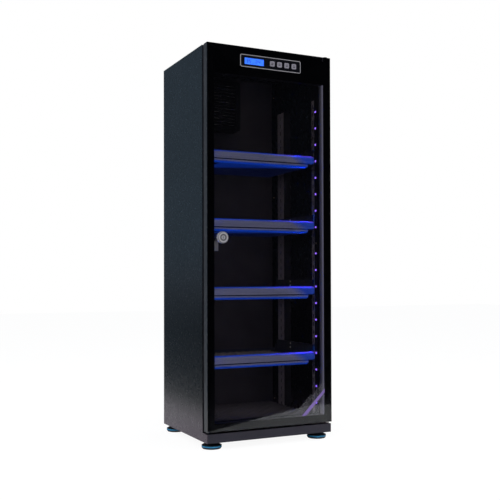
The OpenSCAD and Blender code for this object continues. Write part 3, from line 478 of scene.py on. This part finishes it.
def clear_film():
    """Thin clear film on the glass, a little milky."""
    s = Surface("clear_film")
    s.set(Base_Color=(0.75, 0.72, 0.80, 1))
    s.roughness(s.span(s.noise(60, 3), 0.12, 0.25))
    s.link(s.span(s.noise(25, 3), 0.015, 0.035), s.shader.inputs["Alpha"])
    return s.mat


# Meshes

def finished_mesh(name, bm):
    """The mesh of a bmesh, with its faces turned outwards."""
    bmesh.ops.recalc_face_normals(bm, faces=bm.faces)
    mesh = bpy.data.meshes.new(name)
    bm.to_mesh(mesh)
    bm.free()
    return mesh


def add_object(name, mesh, material, body, smooth=False):
    """Makes an object of the mesh, with one material, that rides on a body."""
    obj = bpy.data.objects.new(name, mesh)
    scene.collection.objects.link(obj)
    mesh.materials.append(material)
    if smooth:
        for polygon in mesh.polygons:
            polygon.use_smooth = True
    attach(obj, body)
    return obj


def prism(name, outline, y0, y1, material, body):
    """A flat piece: an outline of (x, z) points, extruded along y from y0 to y1."""
    bm = bmesh.new()
    near = [bm.verts.new((x, y0, z)) for x, z in outline]
    far = [bm.verts.new((x, y1, z)) for x, z in outline]
    bm.faces.new(near)
    bm.faces.new(far[::-1])
    for k in range(len(outline)):
        n = (k + 1) % len(outline)
        bm.faces.new((near[n], near[k], far[k], far[n]))
    return add_object(name, finished_mesh(name, bm), material, body)


def rounded_outline(cx, cz, w, h, r, steps=6):
    """Points of a rectangle with round corners, centred at (cx, cz)."""
    points = []
    for k, (sx, sz) in enumerate(((1, 1), (-1, 1), (-1, -1), (1, -1))):
        for j in range(steps + 1):
            a = math.pi / 2 * (k + j / steps)
            points.append((cx + sx * (w / 2 - r) + r * math.cos(a),
                           cz + sz * (h / 2 - r) + r * math.sin(a)))
    return points


def turned(name, outline, centre, material, body, steps=96):
    """A turned ring: a closed outline of (radius, z) points, spun about the vertical through centre."""
    bm = bmesh.new()
    rings = []
    for k in range(steps):
        a = 2 * math.pi * k / steps
        rings.append([bm.verts.new((centre[0] + r * math.cos(a), centre[1] + r * math.sin(a), z))
                      for r, z in outline])
    count = len(outline)
    for k in range(steps):
        a, b = rings[k], rings[(k + 1) % steps]
        for j in range(count):
            bm.faces.new((a[j], b[j], b[(j + 1) % count], a[(j + 1) % count]))
    return add_object(name, finished_mesh(name, bm), material, body, smooth=True)


# Pieces that only show

FOAM_PITCH = 24 * MM    # from peak to peak
FOAM_STEP = 3 * MM      # size of the mesh's squares
FOAM_RIM = 6 * MM       # width over which the mat's rim is rounded


def egg_crate(name, node, material, body):
    """Foam mat with rows of rounded peaks, in the space that the plain block holds."""
    lo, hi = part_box(node)
    nx = round((hi.x - lo.x) / FOAM_STEP)
    ny = round((hi.y - lo.y) / FOAM_STEP)
    thick = hi.z - lo.z
    full = 2 * math.pi
    bm = bmesh.new()
    grid = []
    for j in range(ny + 1):
        row = []
        for i in range(nx + 1):
            x = lo.x + (hi.x - lo.x) * i / nx
            y = lo.y + (hi.y - lo.y) * j / ny
            wave = math.cos(full * (x - lo.x) / FOAM_PITCH) * math.cos(full * (y - lo.y) / FOAM_PITCH)
            peak = (0.5 + 0.5 * wave) ** 0.8
            edge = min(x - lo.x, hi.x - x, y - lo.y, hi.y - y)
            drop = 0.12 * max(0.0, 1 - edge / FOAM_RIM) ** 2
            row.append(bm.verts.new((x, y, lo.z + thick * (0.50 + 0.50 * peak - drop))))
        grid.append(row)
    for j in range(ny):
        for i in range(nx):
            bm.faces.new((grid[j][i], grid[j][i + 1], grid[j + 1][i + 1], grid[j + 1][i]))
    rim = grid[0][:] + [row[-1] for row in grid[1:]] + grid[-1][-2::-1] + [row[0] for row in grid[-2:0:-1]]
    foot = [bm.verts.new((v.co.x, v.co.y, lo.z)) for v in rim]
    for k in range(len(rim)):
        n = (k + 1) % len(rim)
        bm.faces.new((rim[n], rim[k], foot[k], foot[n]))
    bm.faces.new(foot)
    mat_piece = add_object(name, finished_mesh(name, bm), material, body, smooth=True)
    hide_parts(node)


# Segments of a digit: a top, b c right, d bottom, e f left, g middle
DIGITS = {2: "abged", 3: "abgcd", 4: "fgbc", 5: "afgcd"}
DIGIT_SIZE = (4.6 * MM, 8.6 * MM)
# Humidity and temperature: each digit with its place across the display, from 0 to 1
DISPLAY_DIGITS = ((3, 0.14), (5, 0.28), (2, 0.62), (4, 0.76))


def digit(name, value, cx, cz, y, material):
    """One seven-segment digit on the display."""
    w, h = DIGIT_SIZE
    t = 0.27 * w
    half_w, half_h, tip = w / 2, h / 2, t / 2
    places = {
        "a": (cx, cz + half_h, True), "g": (cx, cz, True), "d": (cx, cz - half_h, True),
        "f": (cx - half_w, cz + half_h / 2, False), "b": (cx + half_w, cz + half_h / 2, False),
        "e": (cx - half_w, cz - half_h / 2, False), "c": (cx + half_w, cz - half_h / 2, False),
    }
    for key in DIGITS[value]:
        x, z, flat = places[key]
        a, b = (half_w - t * 0.6, t / 2) if flat else (t / 2, half_h / 2 - t * 0.6)
        corners = [(x - a, z - b), (x + a, z - b), (x + a, z + b), (x - a, z + b)]
        if flat:
            outline = [(x - a - tip, z), *corners[:2], (x + a + tip, z), *corners[2:]]
        else:
            outline = [(x, z - b - tip), *corners[1:3], (x, z + b + tip), corners[3], corners[0]]
        prism(f"{name}_{key}", outline, y - 0.05 * MM, y, material, "door")


def display_digits(material):
    """Plain numbers on the display, humidity on the left and temperature on the right."""
    lo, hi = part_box("display")
    cz = (lo.z + hi.z) / 2
    for k, (value, share) in enumerate(DISPLAY_DIGITS):
        digit(f"display_digit_{k + 1}", value, lo.x + (hi.x - lo.x) * share, cz, lo.y, material)


def key_marks(i, material):
    """Two short printed bars on a key."""
    lo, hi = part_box(f"key_{i}")
    cx, cz = (lo.x + hi.x) / 2, (lo.z + hi.z) / 2
    for k, dz in enumerate((-2.1 * MM, 2.1 * MM)):
        prism(f"key_{i}_mark_{k + 1}", rounded_outline(cx, cz + dz, 7.5 * MM, 1.8 * MM, 0.6 * MM, 3),
              lo.y - 0.06 * MM, lo.y + 0.02 * MM, material, f"key_{i}")


# Outlines on the pane, in millimetres from its lower left corner
FILM_OUTLINE = ((284, 24), (376, 24), (376, 113), (361, 113.5), (337, 84), (327, 84.6), (284, 40))
STRIPE_OUTLINE = ((298, 24), (313, 24), (376, 88), (376, 99.4))


def corner_film(film, stripe):
    """Clear film with one plain slanting stripe, in the window's lower right corner."""
    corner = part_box("door_glass")[0]
    for name, outline, out, back, material in (
        ("corner_film", FILM_OUTLINE, 0.12 * MM, 0.02 * MM, film),
        ("corner_stripe", STRIPE_OUTLINE, 0.2 * MM, 0.13 * MM, stripe),
    ):
        points = [(corner.x + x * MM, corner.z + z * MM) for x, z in outline]
        prism(name, points, corner.y - out, corner.y - back, material, "door")


def foot_ring(i, material):
    """Coloured ring in the groove of foot i."""
    lo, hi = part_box(f"foot_pad_{i}")
    centre = ((lo.x + hi.x) / 2, (lo.y + hi.y) / 2)
    r = (hi.x - lo.x) / 2
    z0, z1 = lo.z + 4.6 * MM, lo.z + 8.9 * MM
    inner, edge = r - 0.95 * MM, 0.5 * MM
    outline = [(inner, z0), (r - edge, z0), (r, z0 + edge), (r, z1 - edge), (r - edge, z1), (inner, z1)]
    turned(f"foot_ring_{i}", outline, centre, material, f"foot_{i}")


# Studio

# The white board's front edge, which shows in the pane, and its back corners
BOARD = ((-0.48, -0.217), (-0.0883, -0.4346), (0.3992, -0.7056), (0.5434, -0.738), (3.0, -1.30),
         (3.0, 3.0), (-0.48, 3.0))
FLOOR = ((-9, -9), (9, -9), (9, 9), (-9, 9))
FLOOR_DROP = 1.5 * MM


def flat_piece(name, outline, z, material):
    """A level sheet of the studio, which isn't part of the object."""
    bm = bmesh.new()
    bm.faces.new([bm.verts.new((x, y, z)) for x, y in outline])
    mesh = finished_mesh(name, bm)
    mesh.materials.append(material)
    obj = bpy.data.objects.new(name, mesh)
    scene.collection.objects.link(obj)
    return obj


def floor_white():
    """White floor that keeps the object's shadow and shows as white."""
    s = Surface("floor_white")
    s.set(Specular_IOR_Level=0.0, Roughness=1.0)
    s.color(s.ramp(s.noise(3, 2), (0.90, 0.90, 0.905), (0.92, 0.92, 0.925)))
    glow = s.node("ShaderNodeEmission")
    glow.inputs["Strength"].default_value = 1.05
    seen = s.node("ShaderNodeLightPath").outputs["Is Camera Ray"]
    share = s.math("MULTIPLY", seen, 0.88)
    s.link(blend(s.tree, share, s.shader.outputs[0], glow.outputs[0]), s.out.inputs["Surface"])
    return s.mat


def make_floor():
    """A white board under the object, and the pale floor beyond it."""
    white = floor_white()
    flat_piece("floor_board", BOARD, 0.0, white)
    far = flat_piece("floor_far", FLOOR, -FLOOR_DROP, white)
    far.visible_glossy = False


def background(tree, colour, strength=1.0):
    n = tree.nodes.new("ShaderNodeBackground")
    n.inputs["Color"].default_value = (*colour, 1)
    n.inputs["Strength"].default_value = strength
    return n


def make_world():
    """White to the camera, an even light for the object, and a quiet studio in its reflections."""
    world = bpy.data.worlds.new("studio")
    scene.world = world
    world.use_nodes = True
    tree = world.node_tree
    tree.nodes.clear()
    out = tree.nodes.new("ShaderNodeOutputWorld")
    path = tree.nodes.new("ShaderNodeLightPath")
    seen = background(tree, (1, 1, 1))
    even = background(tree, (0.92, 0.95, 1.0), 0.55)
    mirrored = background(tree, (1, 1, 1))
    # The studio is dark in front of the cabinet and paler behind it
    way = tree.nodes.new("ShaderNodeTexCoord")
    split = tree.nodes.new("ShaderNodeSeparateXYZ")
    tree.links.new(way.outputs["Generated"], split.inputs[0])
    shift = tree.nodes.new("ShaderNodeMapRange")
    shift.inputs["From Min"].default_value = -1
    shift.inputs["From Max"].default_value = 1
    tree.links.new(split.outputs["Y"], shift.inputs["Value"])
    ramp = tree.nodes.new("ShaderNodeValToRGB")
    dark, pale = ramp.color_ramp.elements
    dark.position, dark.color = 0.45, (0.013, 0.014, 0.020, 1)
    pale.position, pale.color = 0.75, (0.105, 0.145, 0.185, 1)
    tree.links.new(shift.outputs["Result"], ramp.inputs["Fac"])
    tree.links.new(ramp.outputs["Color"], mirrored.inputs["Color"])
    studio = blend(tree, path.outputs["Is Glossy Ray"], even.outputs[0], mirrored.outputs[0])
    whole = blend(tree, path.outputs["Is Camera Ray"], studio, seen.outputs[0])
    tree.links.new(whole, out.inputs["Surface"])


def lamp(name, place, target, size, power, colour=(1, 1, 1)):
    """An area lamp that shows neither to the camera nor in mirrored surfaces."""
    data = bpy.data.lights.new(name, "AREA")
    data.shape = "RECTANGLE"
    data.size, data.size_y = size
    data.energy = power
    data.color = colour
    obj = bpy.data.objects.new(name, data)
    scene.collection.objects.link(obj)
    obj.location = place
    aim = Vector(target) - Vector(place)
    obj.rotation_mode = "QUATERNION"
    obj.rotation_quaternion = aim.to_track_quat("-Z", "Y")
    obj.visible_camera = False
    obj.visible_glossy = False
    return obj


FILL_SIZE, FILL_POWER, FILL_COLOUR = (0.22, 0.18), 0.07, (1.0, 0.92, 0.90)
BEAM_SIZE, BEAM_POWER, BEAM_COLOUR = (0.018, 0.004), 0.3, (0.02, 0.13, 1.0)
BEAM_SPREAD = math.radians(50)
BEAM_GAP = 0.012    # height of a beam above or below its shelf's trim


def make_lights():
    """Soft boxes on the left and overhead, a weak lamp in each compartment, and the strip's beams."""
    lamp("key_box", (-2.6, -2.4, 2.3), (0, 0, 0.55), (1.6, 2.0), 56, (0.94, 0.97, 1.0))
    lamp("top_box", (0.4, -0.6, 3.2), (0, 0, 0.6), (2.2, 2.2), 40)
    ceilings = [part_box("top_panel")[0].z - 0.03]
    ceilings += [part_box(f"shelf_tray_{k}")[0].z - 0.004 for k in NUMBERS]
    for k, z in enumerate(ceilings):
        lamp(f"compartment_fill_{k + 1}", (0, -0.03, z), (0, -0.03, z - 0.1),
             FILL_SIZE, FILL_POWER, FILL_COLOUR)
    lo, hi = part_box("led_lenses")
    x, y = lo.x - 0.001, (lo.y + hi.y) / 2
    leftward = Matrix(((0, 0, 1), (0, 1, 0), (-1, 0, 0))).to_quaternion()
    for k in NUMBERS:
        low, top = (corner.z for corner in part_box(f"shelf_trim_{k}"))
        for side, z in (("over", top + BEAM_GAP), ("under", low - BEAM_GAP)):
            beam = lamp(f"strip_beam_{k}_{side}", (x, y, z), (-0.3, y, z), BEAM_SIZE, BEAM_POWER, BEAM_COLOUR)
            beam.rotation_quaternion = leftward
            beam.data.spread = BEAM_SPREAD


# Put it together

make_camera()

body_paint = body_sheet()
plinth_paint = painted("plinth_paint", (0.021, 0.0185, 0.030), rough=0.42, specular=0.4)
frame_paint = painted("frame_paint", (0.012, 0.012, 0.015), rough=0.5, specular=0.3)
inner_paint = painted("inner_paint", (0.036, 0.032, 0.036), rough=0.5, specular=0.3)
rail_paint = painted("rail_paint", (0.045, 0.045, 0.055), rough=0.45, specular=0.35)
zinc = metal("zinc", (0.58, 0.59, 0.62), 0.3)
# The cam is painted pale: a painted glint in place of its metal's reflections
cam_metal = painted("cam_metal", (0.86, 0.80, 0.70), rough=0.3, specular=0.8)
brassy = painted("brassy", (0.40, 0.31, 0.19), rough=0.3, specular=0.8)
# The pins are painted pale: painted glints in place of their metal's reflections
pin_metal = painted("pin_metal", (0.78, 0.72, 0.66), rough=0.25, specular=0.8)
silver = painted("silver_trim", (0.24, 0.23, 0.24), rough=0.3, specular=0.6)
black_plastic = moulded("black_plastic", (0.012, 0.013, 0.015), 0.45)
dryer_plastic = moulded("dryer_plastic", (0.008, 0.008, 0.010), 0.5)
off_white = moulded("off_white_plastic", (0.62, 0.60, 0.54), 0.5)
nylon = moulded("nylon", (0.70, 0.69, 0.64), 0.4)
key_plastic = moulded("key_plastic", (0.22, 0.205, 0.24), 0.42)
mark_print = moulded("mark_print", (0.012, 0.011, 0.015), 0.5)
ring_blue = moulded("ring_blue", (0.02, 0.22, 0.42), 0.35)
stripe_violet = moulded("stripe_violet", (0.20, 0.13, 0.38), 0.3)
strip_board = moulded("strip_board", (0.012, 0.012, 0.016), 0.5)
brown_foam = foam_sponge("brown_foam", (0.070, 0.058, 0.048), (0.34, 0.285, 0.245))
dark_foam = foam_sponge("dark_foam", (0.018, 0.015, 0.016), (0.13, 0.110, 0.112))
display_light = lit("display_light", (0.028, 0.14, 0.84), 0.75)
display_mark = moulded("display_mark", (0.004, 0.010, 0.10), 0.4)
led_light = lit("led_light", (0.25, 0.12, 1.0), 2.8)

FINISHES = (
    (body_paint, "side_panel_left side_panel_right top_panel hinge_plates"),
    (plinth_paint, "plinth"),
    (back_wall((0.011, 0.0165, 0.0215), (0.078, 0.066, 0.074)), "back_panel"),
    (inner_paint, "floor_panel base_rails"),
    (frame_paint, "front_frame"),
    (upright_paint(), "uprights_left uprights_right"),
    (rail_paint, "shelf_rails"),
    (tray_paint_and_strip_light(), "shelf_tray_1 shelf_tray_2 shelf_tray_3 shelf_tray_4"),
    *((satin_trim(number), f"shelf_trim_{number}") for number in NUMBERS),
    (zinc, "foot_bushes lock_nut cam_screw foot_stud_1 foot_stud_2 foot_stud_3 foot_stud_4"),
    (pin_metal, "stop_pins"),
    (lock_chrome(), "lock_body lock_plug"),
    (cam_metal, "lock_cam"),
    (brassy, "cabinet_screws"),
    (silver, "panel_bezel"),
    (gloss_black(), "panel_face"),
    (key_plastic, "key_1 key_2 key_3 key_4"),
    (display_light, "display"),
    (board_print(), "control_board"),
    (black_plastic, "power_inlet foot_pad_1 foot_pad_2 foot_pad_3 foot_pad_4"),
    (dryer_plastic, "dryer_case dryer_cover"),
    (off_white, "desiccant_cartridge"),
    (nylon, "hinge_bushes"),
    (strip_board, "led_strips"),
    (led_light, "led_lenses"),
    (seal_rubber(), "door_gasket"),
    (door_frame_paint(), "door_frame"),
    (tinted_glass(), "door_glass"),
)

for finish, names in FINISHES:
    for node_name in names.split():
        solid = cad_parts[node_name]
        solid.data.materials.clear()
        solid.data.materials.append(finish)

for number in NUMBERS:
    egg_crate(f"shelf_foam_{number}", f"shelf_mat_{number}", brown_foam, f"shelf_{number}")
    key_marks(number, mark_print)
    foot_ring(number, ring_blue)
egg_crate("floor_foam", "floor_mat", dark_foam, "cabinet")
display_digits(display_mark)
corner_film(clear_film(), stripe_violet)

make_floor()
make_world()
make_lights()
scene.view_settings.view_transform = "Standard"
